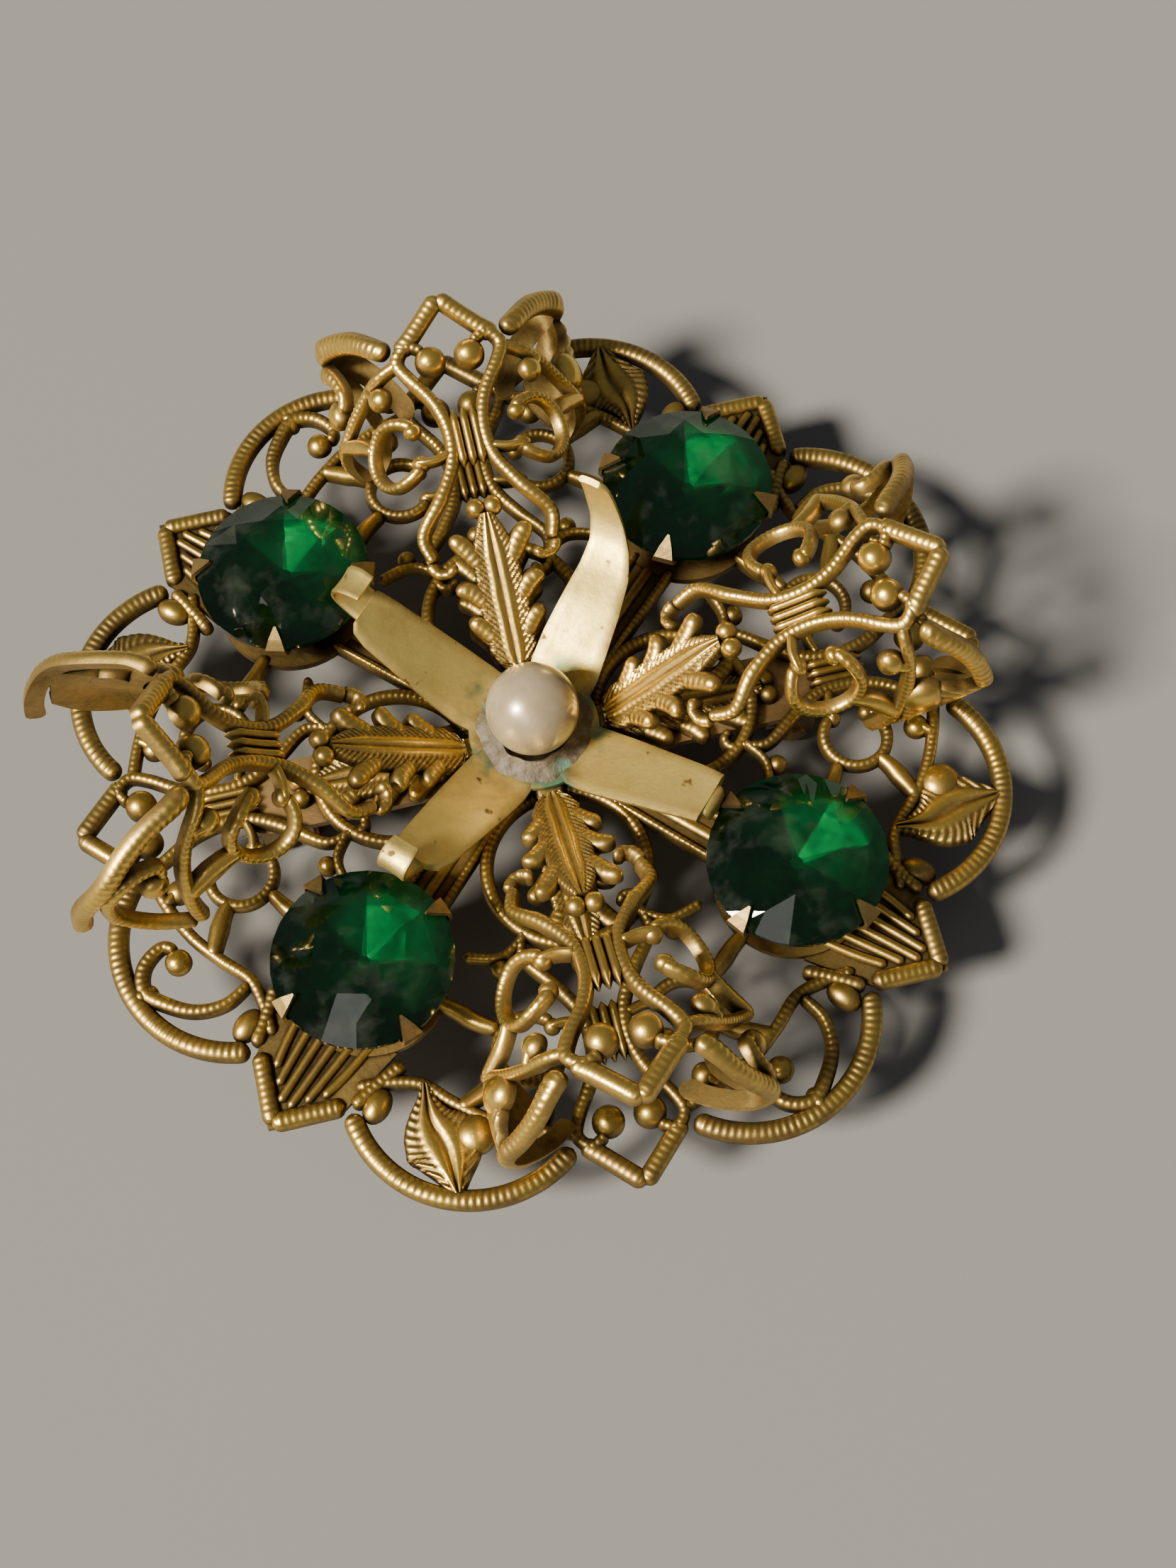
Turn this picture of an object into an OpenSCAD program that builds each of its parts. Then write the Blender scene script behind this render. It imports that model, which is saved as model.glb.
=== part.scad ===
// Filigree brooch: a round stamped rosette carries four bent-up filigree petals,
// four round green stones in pronged cups, a plain four-armed claw and a pearl.
// A bar pin with a rollover safety catch is riveted to its back.
// Millimetres. +Z is the front, and z = 0 is the plane that the closed pin lies on.
// Petals stand on the X and Y axes, and stones on the diagonals.

/* [Rosette] */
// Radius to the tips of the square corners
rosette_r = 29.5; // [28:0.5:31]
// Thickness of the stamping, from its back to the crests of its wires
relief_h = 0.95; // [0.9:0.05:1.1]
// Width of the outer milled wires
rim_wire_w = 1.1; // [0.9:0.1:1.3]
// Width of the inner scroll wires
scroll_wire_w = 0.75; // [0.6:0.05:0.9]

/* [Stones] */
// Girdle radius of a stone
stone_r = 5.4; // [5.2:0.1:5.6]
// Distance from the middle of the brooch to a stone's middle
stone_at = 18.5; // [18:0.25:19]
// Height of the crown over the girdle
crown_h = 1.7; // [1.4:0.1:2]
// Table radius as a share of the girdle radius
table_share = 0.53; // [0.45:0.01:0.6]
// Wall of the cup setting
cup_wall = 0.25; // [0.2:0.05:0.3]

/* [Centre] */
// Radius of the pearl
pearl_r = 2.85; // [2.7:0.05:3]
// Radius of the claw's disc
claw_disc_r = 4; // [3.8:0.1:4]
// Thickness of the claw's plain brass
claw_t = 0.4; // [0.3:0.05:0.5]
// Shank radius of the hub rivet
rivet_r = 0.8; // [0.7:0.05:0.9]

/* [Pin] */
// Radius of the pin stem
stem_r = 0.4; // [0.35:0.05:0.4]
// Height of the pin's line over z = 0
pin_z = 1.2; // [1.2:0.05:1.4]
// Free height between the pin stem and the bar, where the cloth goes
cloth_gap = 4.15; // [4.1:0.05:4.5]
// Half the distance between the hinge and the catch
pin_half = 17; // [16:0.5:18]
// Thickness of the bar
bar_t = 0.6; // [0.5:0.1:0.8]
// Width of the bar
bar_w = 4.6; // [4.2:0.1:5]

/* [Hidden] */
$fn = 48;
bead_sides = 6;
fit = 0.05;               // radial clearance of a turning fit
design_r = 29.5;          // radius at which the stamping's paths are drawn
scale_r = rosette_r / design_r;

bar_z = pin_z + stem_r + cloth_gap;
sheet_z = bar_z + bar_t;
hub_top = sheet_z + relief_h;
tab_t = 0.5;              // thickness of a petal's root tab
claw_z = hub_top + tab_t;
cup_z = claw_z + claw_t;

// ---- paths in the flat stamping: u runs out along a petal's axis, v across it ----

function polar(r, a) = scale_r * [r * cos(a), r * sin(a)];
function arc(c, r, a0, a1, n) = [for (i = [0:n]) c + polar(r, a0 + (a1 - a0) * i / n)];
function polars(list) = [for (p = list) polar(p[0], p[1])];
function scaled(list) = scale_r * list;
function flip(path, side) = [for (p = path) [p.x, side * p.y]];

// ---- how a petal's flat sector is bent ----
// A bend is [slopes along u, the fold on the +v side, the fold on the -v side].
// The flat rosette has no bend.

slope_at = [4.5, 12, 17, 24, 28];
fold_at = [2.5, 5, 9, 11.5];
bend_step = 0.5;

function slope(bend, u) =
    lookup(u, [[slope_at[0], 0], [slope_at[0] + 0.8, bend[0][0]], [slope_at[1], bend[0][0]],
               [slope_at[2], bend[0][1]], [slope_at[3], bend[0][2]], [slope_at[4], bend[0][3]]]);
function fold(two, v) =
    lookup(v, [[fold_at[0], 0], [fold_at[1], two[0]], [fold_at[2], two[0]], [fold_at[3], two[1]]]);

// Tables of [distance in the sheet, place across, place up], added up in small steps
function profile_table(bend) =
    [for (u = 0, x = 0, z = 0; u <= 32; s = slope(bend, u + bend_step / 2),
          x = x + bend_step * cos(s), z = z + bend_step * sin(s), u = u + bend_step) [u, x, z]];
function fold_table(two) =
    [for (v = 0, y = 0, d = 0; v <= 18; f = fold(two, v + bend_step / 2),
          y = y + bend_step * cos(f), d = d + bend_step * sin(f), v = v + bend_step) [v, y, d]];
function column(table, n) = [for (row = table) [row[0], row[n]]];

// What place() needs, worked out once for a petal
function bent(bend) =
    let (p = profile_table(bend), f = fold_table(bend[1]), g = fold_table(bend[2]))
    [bend, column(p, 1), column(p, 2), column(f, 1), column(f, 2), column(g, 1), column(g, 2)];

// The point h over the back of the sheet, where the flat stamping has p
function place(b, p, h) =
    b == undef ? [p.x, p.y, h] :
    let (s = slope(b[0], p.x),
         left = p.y >= 0,
         v = abs(p.y),
         f = fold(b[0][left ? 1 : 2], v),
         y = lookup(v, b[left ? 3 : 5]),
         lift = h * cos(f) - lookup(v, b[left ? 4 : 6]))
    [lookup(p.x, b[1]) - lift * sin(s),
     (left ? 1 : -1) * (y + h * sin(f)),
     lookup(p.x, b[2]) + lift * cos(s)];

// ---- solids that follow such a path ----

// Faces of a tube of rings with q corners each
function tube_faces(rings, q) =
    concat([[for (j = [0:q - 1]) j]],
           [for (i = [0:rings - 2], j = [0:q - 1])
               [i * q + j, (i + 1) * q + j, (i + 1) * q + (j + 1) % q]],
           [for (i = [0:rings - 2], j = [0:q - 1])
               [i * q + j, (i + 1) * q + (j + 1) % q, i * q + (j + 1) % q]],
           [[for (j = [q - 1:-1:0]) (rings - 1) * q + j]]);

// A ribbon along a path: sloping sides and a narrower crest. Its back is lift over the
// sheet's back, and its crest is lower by the same, so that no two ribbons share a plane.
module ribbon(b, path, widths, lift = 0, height = relief_h, crest = 0.45) {
    last = len(path) - 1;
    points = [for (i = [0:last])
        let (d = path[min(i + 1, last)] - path[max(i - 1, 0)],
             n = [-d.y, d.x] / norm(d),
             w = is_list(widths) ? widths[i] / 2 : widths / 2)
        for (c = [[-1, lift], [1, lift], [crest, height - lift], [-crest, height - lift]])
            place(b, path[i] + c[0] * w * n, c[1])];
    polyhedron(points, tube_faces(last + 1, 4));
}

// A round bead that stands proud of the sheet
module bead(b, at, r) {
    hull()
        translate(place(b, at, 0.45))
            sphere(r, $fn = bead_sides);
}

// ---- the stamping's ornaments ----

corner_leg = 4.6;
corner_apex = [design_r - rim_wire_w / sqrt(2), 0] * scale_r;

module square_corner(b) {
    for (side = [-1, 1])
        ribbon(b, [corner_apex + [0.3, -0.3 * side],
                   corner_apex - corner_leg * [1, -side] / sqrt(2)], rim_wire_w, 0.03);
}

module curl_balls(b) {
    for (side = [-1, 1])
        bead(b, scale_r * [24.8, side * 1.25], 0.95);
}

module arch(b, side, to = 84.7) {
    ribbon(b, flip(arc(polar(21.85, 22.5), 7.4, -42, to, 10), side), rim_wire_w);
}

module scallop(b, side, stops) {
    path = polars([for (i = [0:stops - 1]) scallop_points[i]]);
    ribbon(b, flip(path, side), scroll_wire_w, 0.1);
}
scallop_points = [[25.3, 6.5], [24.9, 13], [24.4, 19], [23.7, 24.5], [23.1, 29.5], [23.5, 34], [24.4, 38]];

module c_scroll(b, side) {
    ribbon(b, flip(arc(scale_r * [19.5, 4.7], 2, -55, 235, 8), side), scroll_wire_w, 0.15);
    for (u = [18.5, 20.6])
        bead(b, scale_r * [u, side * 3.2], 0.5);
    bead(b, scale_r * [23.9, side * 5.1], 0.8);
    ribbon(b, flip(scaled([[18.5, 3.2], [18.6, 1.2]]), side), scroll_wire_w, 0.24);
    ribbon(b, flip(scaled([[20.5, 6.2], [22.1, 9.2]]), side), 1, 0.2);
}

module lyre(b) {
    for (side = [-1, 1]) {
        ribbon(b, flip(scaled(lyre_points), side), scroll_wire_w, 0.06);
        ribbon(b, scaled([[17.9, side * 0.48], [21.2, side * 0.48]]), 1.06, 0.18);
    }
}

lyre_points = [[12.3, 3.5], [15, 2.9], [17, 1.8], [19, 1.2], [21, 1.3], [23, 2.1], [24.6, 3.1],
               [25.8, 2.8], [25.6, 1.4]];

module acanthus(b) {
    path = scaled([for (u = [4.4, 5.4, 6.6, 7.8, 8.8, 10, 11.3, 12.3, 13.3, 14.6]) [u, 0]]);
    ribbon(b, path, [1.3, 2.1, 3, 3.7, 3, 4.2, 3.4, 3.8, 2.4, 0.6], 0.12, relief_h, 0.3);
}

// The broad leaf that fills one arch
module tulip(b) {
    path = scaled([[20.6, -11.3], [22, -11.2], [23.8, -10.8], [25.4, -10.6], [26.9, -10.8]]);
    ribbon(b, path, [0.9, 2.6, 4.4, 3.3, 1], 0.13, relief_h, 0.3);
    bead(b, scale_r * [24.1, -9.6], 1.1);
}

// The curled scroll that fills the next arch
module hook_scroll(b) {
    path = [[20.3, 11.6], [21.9, 12.6], [23.7, 12.7], [25.2, 11.9], [26.2, 10.5], [26, 9], [24.6, 8.6]];
    ribbon(b, scaled(path), 0.85, 0.09);
    bead(b, scale_r * [24.2, 9.2], 0.7);
    bead(b, polar(28.4, 22.5), 0.7);
}

// ---- stamped pieces ----

stone_angles = [45, 135, 225, 315];
pad_r = 4.8;

module base_quarter() {
    square_corner(undef);
    curl_balls(undef);
    lyre(undef);
    acanthus(undef);
    ribbon(undef, arc(scale_r * [8.9, 0], 4.95, 0, 360, 16), 1, 0.05);
    for (side = [-1, 1]) {
        arch(undef, side);
        scallop(undef, side, 7);
        c_scroll(undef, side);
        ribbon(undef, flip(scaled([[17.9, 6.2], [15.7, 9.3]]), side), 0.9, 0.21);
        bead(undef, polar(24.7, side * 35.5), 0.95);
    }
    tulip(undef);
    hook_scroll(undef);
}

// Spoke, seat and solid corner on a stone's diagonal
module stone_axis() {
    corner = scaled([[29, 0], [26, 3], [22.5, 3.1], [22.5, -3.1], [26, -3]]);
    translate([0, 0, 0.07])
        linear_extrude(relief_h - 0.15)
            polygon(corner);
    square_corner(undef);
    translate([stone_at, 0, 0])
        cylinder(r = pad_r, h = relief_h, $fn = 32);
    for (side = [-1, 1])
        ribbon(undef, [[3.2, side * 1.1], [14.4, side * 1.1]], scroll_wire_w, 0.08);
    translate([3, -1, 0.05])
        cube([11, 2, 0.5]);
}

module base_filigree() {
    color("darkgoldenrod")
        translate([0, 0, sheet_z])
            difference() {
                union() {
                    cylinder(r = claw_disc_r, h = relief_h, $fn = 32);
                    for (a = [0, 90, 180, 270]) {
                        rotate(a)
                            base_quarter();
                        rotate(a + 45)
                            stone_axis();
                    }
                }
                translate([0, 0, -1])
                    cylinder(r = rivet_r + fit, h = 3, $fn = 32);
                for (a = stone_angles)
                    rotate(a)
                        translate([stone_at, 0, -1])
                            cylinder(r = setting_rivet_r + fit, h = 3, $fn = 24);
            }
}

// A petal is the same stamping's sector, cut free and bent up
module petal(azimuth, bend) {
    b = bent(bend);
    color("goldenrod")
        translate([0, 0, hub_top])
            rotate(azimuth) {
                ribbon(b, [[1.4, 0], [3.4, 0], [4.4, 0], [5, 0]], [2.4, 2.4, 1.8, 1.6], 0, tab_t, 1);
                acanthus(b);
                lyre(b);
                square_corner(b);
                curl_balls(b);
                tulip(b);
                hook_scroll(b);
                for (side = [-1, 1]) {
                    ribbon(b, flip(scaled([[9.9, 1.6], [11.4, 3], [12.6, 3.5]]), side),
                           scroll_wire_w, 0.22);
                    scallop(b, side, 5);
                    c_scroll(b, side);
                    arch(b, side, 55);
                }
            }
}

// Slopes along the petal, then how far each side folds down and curls under
module petal_top() petal(90, [[34.6, 15.6, 12.7, 29.7], [53, 178], [51, 180]]);
module petal_right() petal(0.6, [[45.4, 16.5, 27.6, 25.5], [42, 115], [76, 140]]);
module petal_bottom() petal(-89.5, [[31, 24.4, 18.7, 12.5], [55, 165], [54, 150]]);
module petal_left() petal(183, [[37.5, 32.6, 59.4, 57.1], [60.5, 96], [66, 91]]);

// ---- claw, pearl and hub rivet ----

// A bent strip in the plane of r and z; stops are [r, z, width]
module strip(stops, thickness) {
    last = len(stops) - 1;
    points = [for (i = [0:last])
        let (a = stops[max(i - 1, 0)], c = stops[min(i + 1, last)],
             d = [c[0] - a[0], c[1] - a[1]],
             n = [-d.y, d.x] / norm(d) * thickness / 2,
             s = stops[i])
        for (q = [[-1, -1], [1, -1], [1, 1], [-1, 1]])
            [s[0] + q[1] * n.x, q[0] * s[2] / 2, s[1] + q[1] * n.y]];
    polyhedron(points, tube_faces(last + 1, 4));
}

arm = [[3, 0.02, 4], [3.8, 0.02, 4.4], [4.3, 0.12, 4.4], [6, 0.95, 4.3],
       [8.5, 2.3, 3.9], [11, 3.55, 3.4], [12.2, 4.1, 3]];
tongue_up = [[12, 4, 2.2], [12.9, 4.7, 2.1], [13.5, 5.7, 2], [13.6, 6.8, 1.2]];
tongue_back = [[12, 4, 2.2], [13.3, 4.7, 2.1], [13.9, 5.5, 2.1],
               [13.5, 6.2, 2], [12.6, 6.4, 1.9], [12, 6.1, 1.3]];
tongue_down = [[12, 4, 2.2], [12.4, 3.85, 2.1], [12.6, 3.3, 1.9]];

module claw() {
    color("tan")
        translate([0, 0, claw_z]) {
            difference() {
                cylinder(r = claw_disc_r, h = claw_t);
                translate([0, 0, -1])
                    cylinder(r = rivet_r + fit, h = 2);
            }
            for (i = [0:3])
                rotate(stone_angles[i])
                    translate([0, 0, claw_t / 2]) {
                        strip(arm, claw_t);
                        strip([tongue_up, tongue_back, tongue_back, tongue_down][i], 0.9 * claw_t);
                    }
        }
}

cup_floor = 0.25;
rivet_head_h = 0.25;
pearl_z = cup_z + 2.9;

module pearl_cup() {
    color("goldenrod")
        translate([0, 0, cup_z])
            rotate_extrude()
                polygon([[rivet_r + fit, 0], [2.1, 0], [2.5, 0.45], [2.3, 0.5],
                         [2, cup_floor], [rivet_r + fit, cup_floor]]);
}

module pearl() {
    color("ivory")
        intersection() {
            translate([0, 0, pearl_z])
                sphere(pearl_r);
            translate([-pearl_r, -pearl_r, cup_z + cup_floor + rivet_head_h + fit])
                cube([2 * pearl_r, 2 * pearl_r, 3 * pearl_r]);
        }
}

module hub_rivet() {
    color("darkgoldenrod") {
        translate([0, 0, bar_z - rivet_head_h])
            cylinder(r = 1.3, h = rivet_head_h);
        translate([0, 0, bar_z - rivet_head_h])
            cylinder(r = rivet_r, h = cup_z + cup_floor - bar_z + 2 * rivet_head_h);
        translate([0, 0, cup_z + cup_floor])
            cylinder(r = 1.5, h = rivet_head_h);
    }
}

// ---- stones and their pronged cups ----

girdle_z = 3.3;           // over the seat
girdle_t = 0.35;
culet_z = 0.75;
setting_rivet_r = 0.5;
prong_turn = [15, 30, -25, -10];
prong_t = 0.25;

// Where stone i stands
module at_stone(i) {
    rotate(stone_angles[i])
        translate([stone_at, 0, hub_top])
            children();
}

module cup_setting(i) {
    rim = stone_r - 0.3;
    prong_r = stone_r + fit + 0.17;
    color("darkgoldenrod")
        at_stone(i) {
            rotate_extrude()
                polygon([[setting_rivet_r + fit, 0], [2.7, 0], [rim, girdle_z - 0.6],
                         [rim - cup_wall, girdle_z - 0.55], [2.5, 0.3], [setting_rivet_r + fit, 0.3]]);
            for (k = [0:3])
                rotate(prong_turn[i] + 90 * k)
                    strip([[rim - 0.4, girdle_z - 1, 1.5], [rim + 0.2, girdle_z - 0.4, 1.5],
                           [prong_r, girdle_z, 1.4], [prong_r, girdle_z + 0.45, 1.2],
                           [prong_r - 0.5, girdle_z + 0.85, 0.8],
                           [prong_r - 1.2, girdle_z + 1.3, 0.12]], prong_t);
        }
}

// An octagonal table, eight star facets, eight kites, and a pavilion in eight
module stone(i) {
    table_z = girdle_z + girdle_t + crown_h;
    levels = [[culet_z, 0.45, 8], [girdle_z, stone_r, 16],
              [girdle_z + girdle_t, stone_r, 16], [table_z, stone_r * table_share, 8]];
    points = [for (l = levels, j = [0:l[2] - 1])
                 [l[1] * cos(j * 360 / l[2]), l[1] * sin(j * 360 / l[2]), l[0]]];
    low = 8;              // first corner of each level
    high = 24;
    top = 40;
    faces = concat(
        [[for (j = [0:7]) j]],
        [for (j = [0:7]) each [[j, low + (2 * j + 15) % 16, low + 2 * j],
                               [j, low + 2 * j, low + 2 * j + 1],
                               [j, low + 2 * j + 1, (j + 1) % 8]]],
        [for (j = [0:15]) each [[low + j, high + j, high + (j + 1) % 16],
                                [low + j, high + (j + 1) % 16, low + (j + 1) % 16]]],
        [for (j = [0:7]) each [[high + (2 * j + 15) % 16, top + j, high + 2 * j],
                               [high + 2 * j, top + j, high + 2 * j + 1],
                               [high + 2 * j + 1, top + j, top + (j + 1) % 8]]],
        [[for (j = [7:-1:0]) top + j]]);
    color("green")
        at_stone(i)
            rotate(11)
                polyhedron(points, faces);
}

module setting_rivets() {
    color("darkgoldenrod")
        for (i = [0:3])
            at_stone(i) {
                translate([0, 0, -relief_h - 0.3])
                    cylinder(r = setting_rivet_r, h = relief_h + 0.8);
                for (z = [-relief_h - 0.3, 0.3])
                    translate([0, 0, z])
                        cylinder(r = 0.9, h = z < 0 ? 0.3 : 0.2);
            }
}

// ---- bar pin ----

hinge_x = pin_half;
catch_x = -pin_half + 0.5;
foot_t = 0.5;

module pin_bar() {
    color("darkgoldenrod")
        translate([0, 0, bar_z])
            linear_extrude(bar_t)
                difference() {
                    union() {
                        square([2 * pin_half, bar_w], center = true);
                        for (x = [-pin_half, pin_half])
                            translate([x, 0])
                                circle(bar_w / 2);
                    }
                    circle(rivet_r + fit);
                }
}

hinge_cheek_t = 0.5;
hinge_cheek_in = 0.75;
hinge_pin_r = 0.4;

module hinge_bracket() {
    outer = hinge_cheek_in + hinge_cheek_t;
    color("darkgoldenrod") {
        translate([hinge_x - 2, -outer, bar_z - foot_t])
            cube([4, 2 * outer, foot_t]);
        for (side = [-1, 1])
            translate([hinge_x, side * (outer - hinge_cheek_t / 2), 0])
                difference() {
                    union() {
                        translate([0, 0, pin_z])
                            rotate([90, 0, 0])
                                cylinder(r = pin_z, h = hinge_cheek_t, center = true);
                        translate([-pin_z, -hinge_cheek_t / 2, pin_z])
                            cube([2 * pin_z, hinge_cheek_t, bar_z - foot_t - pin_z]);
                    }
                    translate([0, 0, pin_z])
                        rotate([90, 0, 0])
                            cylinder(r = hinge_pin_r, h = 2, center = true);
                }
    }
}

module hinge_pin() {
    shank = hinge_cheek_in + hinge_cheek_t;
    color("tan")
        translate([hinge_x, 0, pin_z])
            rotate([90, 0, 0]) {
                cylinder(r = hinge_pin_r, h = 2 * shank, center = true);
                for (side = [-1, 1])
                    translate([0, 0, side * (shank + 0.15)])
                        cylinder(r = 0.65, h = 0.3, center = true);
            }
}

eye_r = 0.95;
neck_x = hinge_x - 1.8;
taper_x = -13.9;
tip_x = -pin_half - 2.6;

module pin_stem() {
    color("silver")
        translate([0, 0, pin_z])
            difference() {
                union() {
                    translate([hinge_x, 0, 0])
                        rotate([90, 0, 0])
                            cylinder(r = eye_r, h = 2 * hinge_cheek_in - 0.2, center = true);
                    translate([neck_x, 0, 0])
                        rotate([0, 90, 0])
                            cylinder(r = stem_r + 0.22, h = hinge_x - neck_x - 0.5);
                    translate([taper_x, 0, 0])
                        rotate([0, 90, 0])
                            cylinder(r = stem_r, h = neck_x - taper_x);
                    translate([tip_x, 0, 0])
                        rotate([0, 90, 0])
                            cylinder(r1 = 0.08, r2 = stem_r, h = taper_x - tip_x);
                }
                translate([hinge_x, 0, 0])
                    rotate([90, 0, 0])
                        cylinder(r = hinge_pin_r + fit, h = 4, center = true);
            }
}

rotor_in = 0.5;
rotor_out = 0.85;
rotor_half = 1.8;
catch_out = 1.34;
cheek_t = 1;
lever_t = 1;
lever_gap = 1.2;
mouth_half = 0.6;
lever_angle = 60;
lever_l = 2.8;

// A slab cut out below the pin's line, as long as the catch
module mouth(half) {
    translate([-3, -half, -4])
        cube([6, 2 * half, 4]);
}

module catch_body() {
    color("darkgoldenrod") {
        translate([catch_x - 2.1, -catch_out, bar_z - foot_t])
            cube([4.2, 2 * catch_out, foot_t]);
        for (side = [-1, 1])
            translate([catch_x + side * (lever_gap + cheek_t) / 2, 0, pin_z])
                difference() {
                    union() {
                        rotate([0, 90, 0])
                            cylinder(r = catch_out, h = cheek_t, center = true);
                        translate([-cheek_t / 2, -catch_out, 0])
                            cube([cheek_t, 2 * catch_out, bar_z - foot_t - pin_z]);
                    }
                    rotate([0, 90, 0])
                        cylinder(r = rotor_out + fit, h = 4, center = true);
                    mouth(mouth_half);
                }
    }
}

module catch_rotor() {
    color("tan")
        translate([catch_x, 0, pin_z]) {
            difference() {
                rotate([0, 90, 0])
                    cylinder(r = rotor_out, h = 2 * rotor_half, center = true);
                rotate([0, 90, 0])
                    cylinder(r = rotor_in, h = 6, center = true);
                mouth(rotor_in);
            }
            rotate([lever_angle, 0, 0]) {
                translate([-lever_t / 2, (rotor_in + rotor_out) / 2, -0.35])
                    cube([lever_t, lever_l - 0.35 - (rotor_in + rotor_out) / 2, 0.7]);
                translate([0, lever_l - 0.35, 0])
                    rotate([0, 90, 0])
                        cylinder(r = 0.35, h = lever_t, center = true);
            }
        }
}

base_filigree();
petal_top();
petal_right();
petal_bottom();
petal_left();
claw();
pearl_cup();
pearl();
hub_rivet();
cup_setting(0);  // setting_ne
cup_setting(1);  // setting_nw
cup_setting(2);  // setting_sw
cup_setting(3);  // setting_se
stone(0);  // stone_ne
stone(1);  // stone_nw
stone(2);  // stone_sw
stone(3);  // stone_se
setting_rivets();
pin_bar();
hinge_bracket();
hinge_pin();
pin_stem();
catch_body();
catch_rotor();
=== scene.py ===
"""Looks of the filigree brooch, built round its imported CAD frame.

Lengths are in millimetres until a mesh is made. The stamping is drawn flat, with u along a
petal's axis and v across it, and a Bend then carries it to its place on the brooch.
"""

import math

import bpy
import numpy as np
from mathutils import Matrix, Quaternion, Vector


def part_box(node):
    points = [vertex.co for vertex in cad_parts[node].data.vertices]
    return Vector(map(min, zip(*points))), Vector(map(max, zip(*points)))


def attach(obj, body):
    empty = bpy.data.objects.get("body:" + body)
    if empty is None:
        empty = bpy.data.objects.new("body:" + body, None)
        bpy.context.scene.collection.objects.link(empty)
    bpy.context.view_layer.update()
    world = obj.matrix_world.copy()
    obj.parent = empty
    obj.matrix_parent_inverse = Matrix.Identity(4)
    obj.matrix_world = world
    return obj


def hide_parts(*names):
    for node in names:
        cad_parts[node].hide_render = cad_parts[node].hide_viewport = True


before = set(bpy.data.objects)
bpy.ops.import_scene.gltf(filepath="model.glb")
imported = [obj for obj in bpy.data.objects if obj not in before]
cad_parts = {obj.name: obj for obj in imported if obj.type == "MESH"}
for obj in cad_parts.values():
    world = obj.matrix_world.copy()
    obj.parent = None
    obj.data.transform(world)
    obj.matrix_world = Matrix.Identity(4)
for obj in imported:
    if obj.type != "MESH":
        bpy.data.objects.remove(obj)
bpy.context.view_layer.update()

MM = 0.001


def foot_of(node):
    """Height of a CAD node's lowest point over the table."""
    return round(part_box(node)[0].z / MM, 3)


# ---- sizes shared with the CAD part ----

HUB_TOP = foot_of("setting_ne")     # front of the rosette, where the cups of the stones stand
CLAW_Z = foot_of("claw")
CUP_Z = foot_of("pearl_cup")
TAB = CLAW_Z - HUB_TOP
CLAW_T = CUP_Z - CLAW_Z
RELIEF = 0.95            # crest of a wire over the back of the sheet
SHEET_BACK = HUB_TOP - RELIEF
RIVET_HOLE_R = 0.85
CLAW_DISC_R = 4.1
PEARL_R = 2.85
PEARL_Z = CUP_Z + 2.9
STONE_AT = 18.5          # from the middle of the brooch to the middle of a stone

# A stone's heights are over the seat of its cup
STONE_ANGLES = (45, 135, 225, 315)
STONE_SPINS = (11, 12, 8, 24)
STONE_R = 5.4
CULET_Z = 1.4            # the glass is shallower inside its coat than the CAD stone
CULET_R = 0.4
LOW_RING_Z = 2.47        # where the back's facets change their slope
LOW_RING_R = 3.9
GIRDLE_Z = 3.3
GIRDLE_T = 0.35
GIRDLE_SIDES = 32        # four to each of the eight main facets
CROWN = 1.7
KITE_RISE = 0.52         # height of the kites' corners, as a share of the crown
KITE_OUT = 0.77          # and how far out they are, as a share of the girdle
TABLE_SHARE = 0.53

# Each petal: azimuth, slopes along it, and how far each side folds down and curls under
PETALS = {
    "petal_top": (90, (34.6, 15.6, 12.7, 29.7), ((53, 178), (51, 180))),
    "petal_right": (0.6, (45.4, 16.5, 27.6, 25.5), ((42, 115), (76, 140))),
    "petal_bottom": (-89.5, (31, 24.4, 18.7, 12.5), ((55, 165), (54, 150))),
    "petal_left": (183, (37.5, 32.6, 59.4, 57.1), ((60.5, 96), (66, 91))),
}
# Where those slopes and folds start and change, along u and across v
SLOPE_AT = (4.5, 12, 17, 24, 28)
FOLD_AT = (2.5, 5, 9, 11.5)


# ---- paths in the flat stamping ----

def polar(radius, degrees):
    """A flat point from its radius and its angle from the petal's axis."""
    a = math.radians(degrees)
    return np.array([radius * math.cos(a), radius * math.sin(a)])


def arc(centre, radius, start, end, step=0.085):
    """Evenly spaced points of a circle's arc."""
    n = max(8, int(abs(math.radians(end - start)) * radius / step))
    a = np.radians(np.linspace(start, end, n))
    return np.array(centre) + radius * np.stack([np.cos(a), np.sin(a)], 1)


def curve(points, step=0.085):
    """Evenly spaced points of a smooth curve through the given ones."""
    p = np.array(points, float)
    ends = np.vstack([2 * p[0] - p[1], p, 2 * p[-1] - p[-2]])
    t = np.linspace(0, 1, 30, endpoint=False)[:, None]
    spans = []
    for a, b, c, d in zip(ends, ends[1:], ends[2:], ends[3:]):
        spans.append(0.5 * (2 * b + (c - a) * t + (2 * a - 5 * b + 4 * c - d) * t**2
                            + (3 * b - a - 3 * c + d) * t**3))
    dense = np.vstack(spans + [p[-1:]])
    along = lengths(dense)
    n = max(4, int(along[-1] / step))
    even = np.linspace(0, along[-1], n)
    return np.stack([np.interp(even, along, dense[:, i]) for i in (0, 1)], 1)


def lengths(path):
    """Distance along a path at each of its points."""
    return np.concatenate([[0], np.cumsum(np.linalg.norm(np.diff(path, axis=0), axis=1))])


def flip(path, side):
    """The path, mirrored over the petal's axis when side is -1."""
    return np.array(path) * [1, side]


def smoothstep(x, low, high):
    t = np.clip((x - low) / (high - low), 0, 1)
    return t * t * (3 - 2 * t)


# ---- how flat stampings are bent ----

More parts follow.
